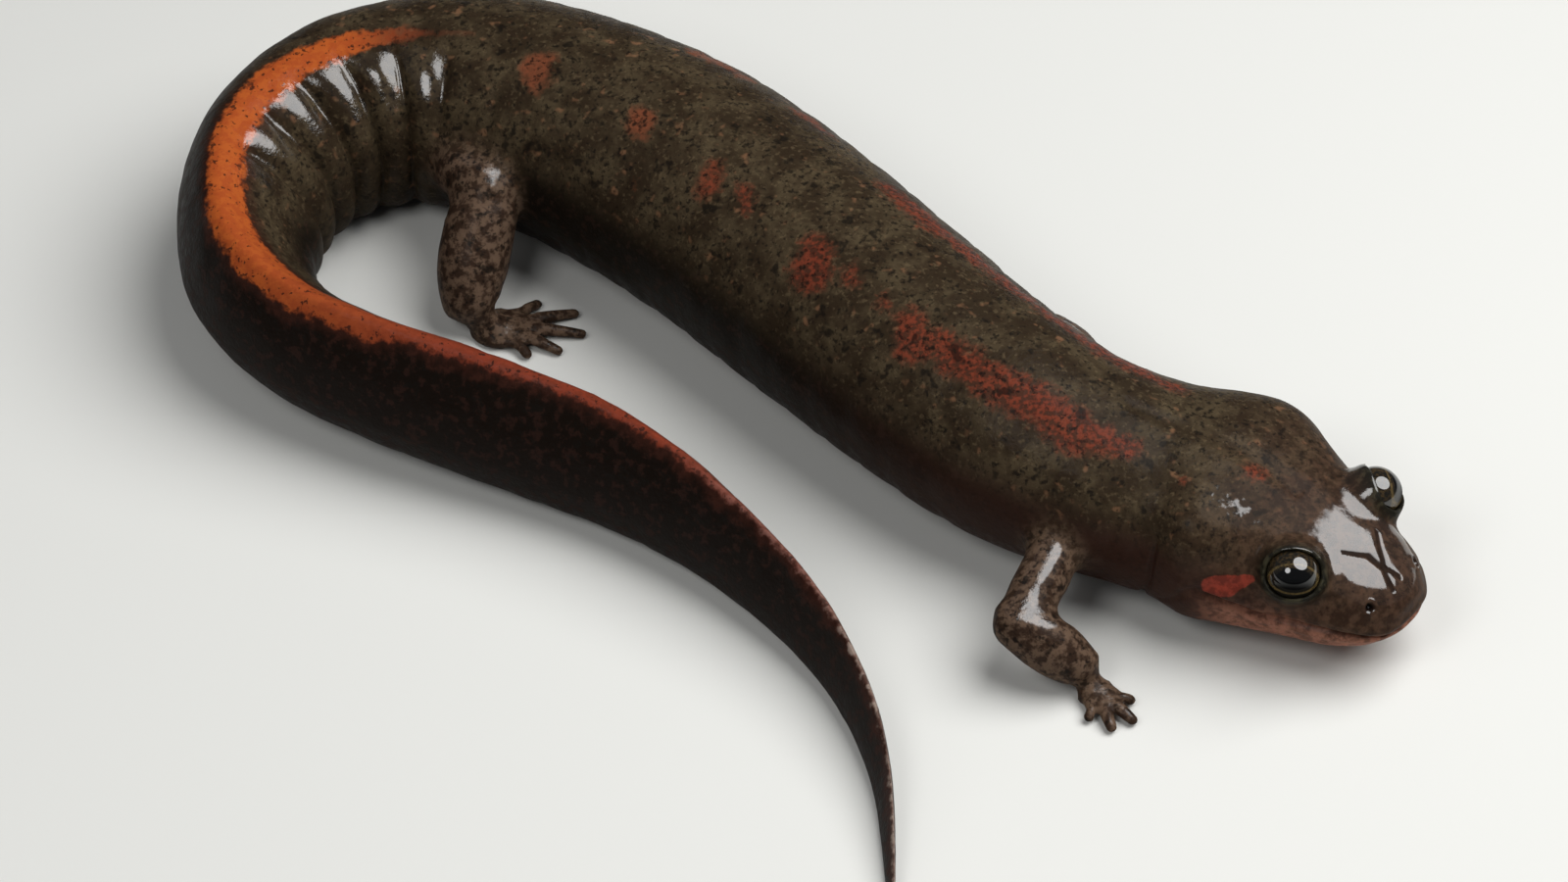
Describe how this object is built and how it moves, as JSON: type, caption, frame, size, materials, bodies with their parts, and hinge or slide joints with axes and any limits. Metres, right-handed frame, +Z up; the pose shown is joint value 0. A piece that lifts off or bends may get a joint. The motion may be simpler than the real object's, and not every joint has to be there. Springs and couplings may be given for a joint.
{
  "type": "southern dusky salamander model",
  "caption": "Still, life-size model of a dusky salamander resting on its belly, with its tail curled round beside it.",
  "frame": {"origin": "on the floor, at the middle of the model's outline seen from above", "axes": "+Z up; +X and a little -Y towards the snout, so the animal's right side faces -Y and the tail's tip points to -Y"},
  "size_m": [0.0523, 0.0571, 0.01],
  "materials": {
    "skin": "wet, glossy amphibian skin, dark brown with black flecks, brick-red blotches and an orange-red crest on the tail",
    "eye": "wet black eye with a thin golden-brown ring of iris"
  },
  "bodies": {
    "root": {"eye_left": "eye", "eye_right": "eye", "front_left_foot": "skin", "front_left_lower": "skin", "front_left_upper": "skin", "front_right_foot": "skin", "front_right_lower": "skin", "front_right_upper": "skin", "head": "skin", "hind_left_foot": "skin", "hind_left_lower": "skin", "hind_left_upper": "skin", "hind_right_foot": "skin", "hind_right_lower": "skin", "hind_right_upper": "skin", "hips": "skin", "neck": "skin", "tail_1": "skin", "tail_2": "skin", "tail_3": "skin", "tail_4": "skin", "tail_5": "skin", "tail_6": "skin", "tail_7": "skin", "trunk_front": "skin", "trunk_middle": "skin", "trunk_rear": "skin"}
  },
  "joints": []
}
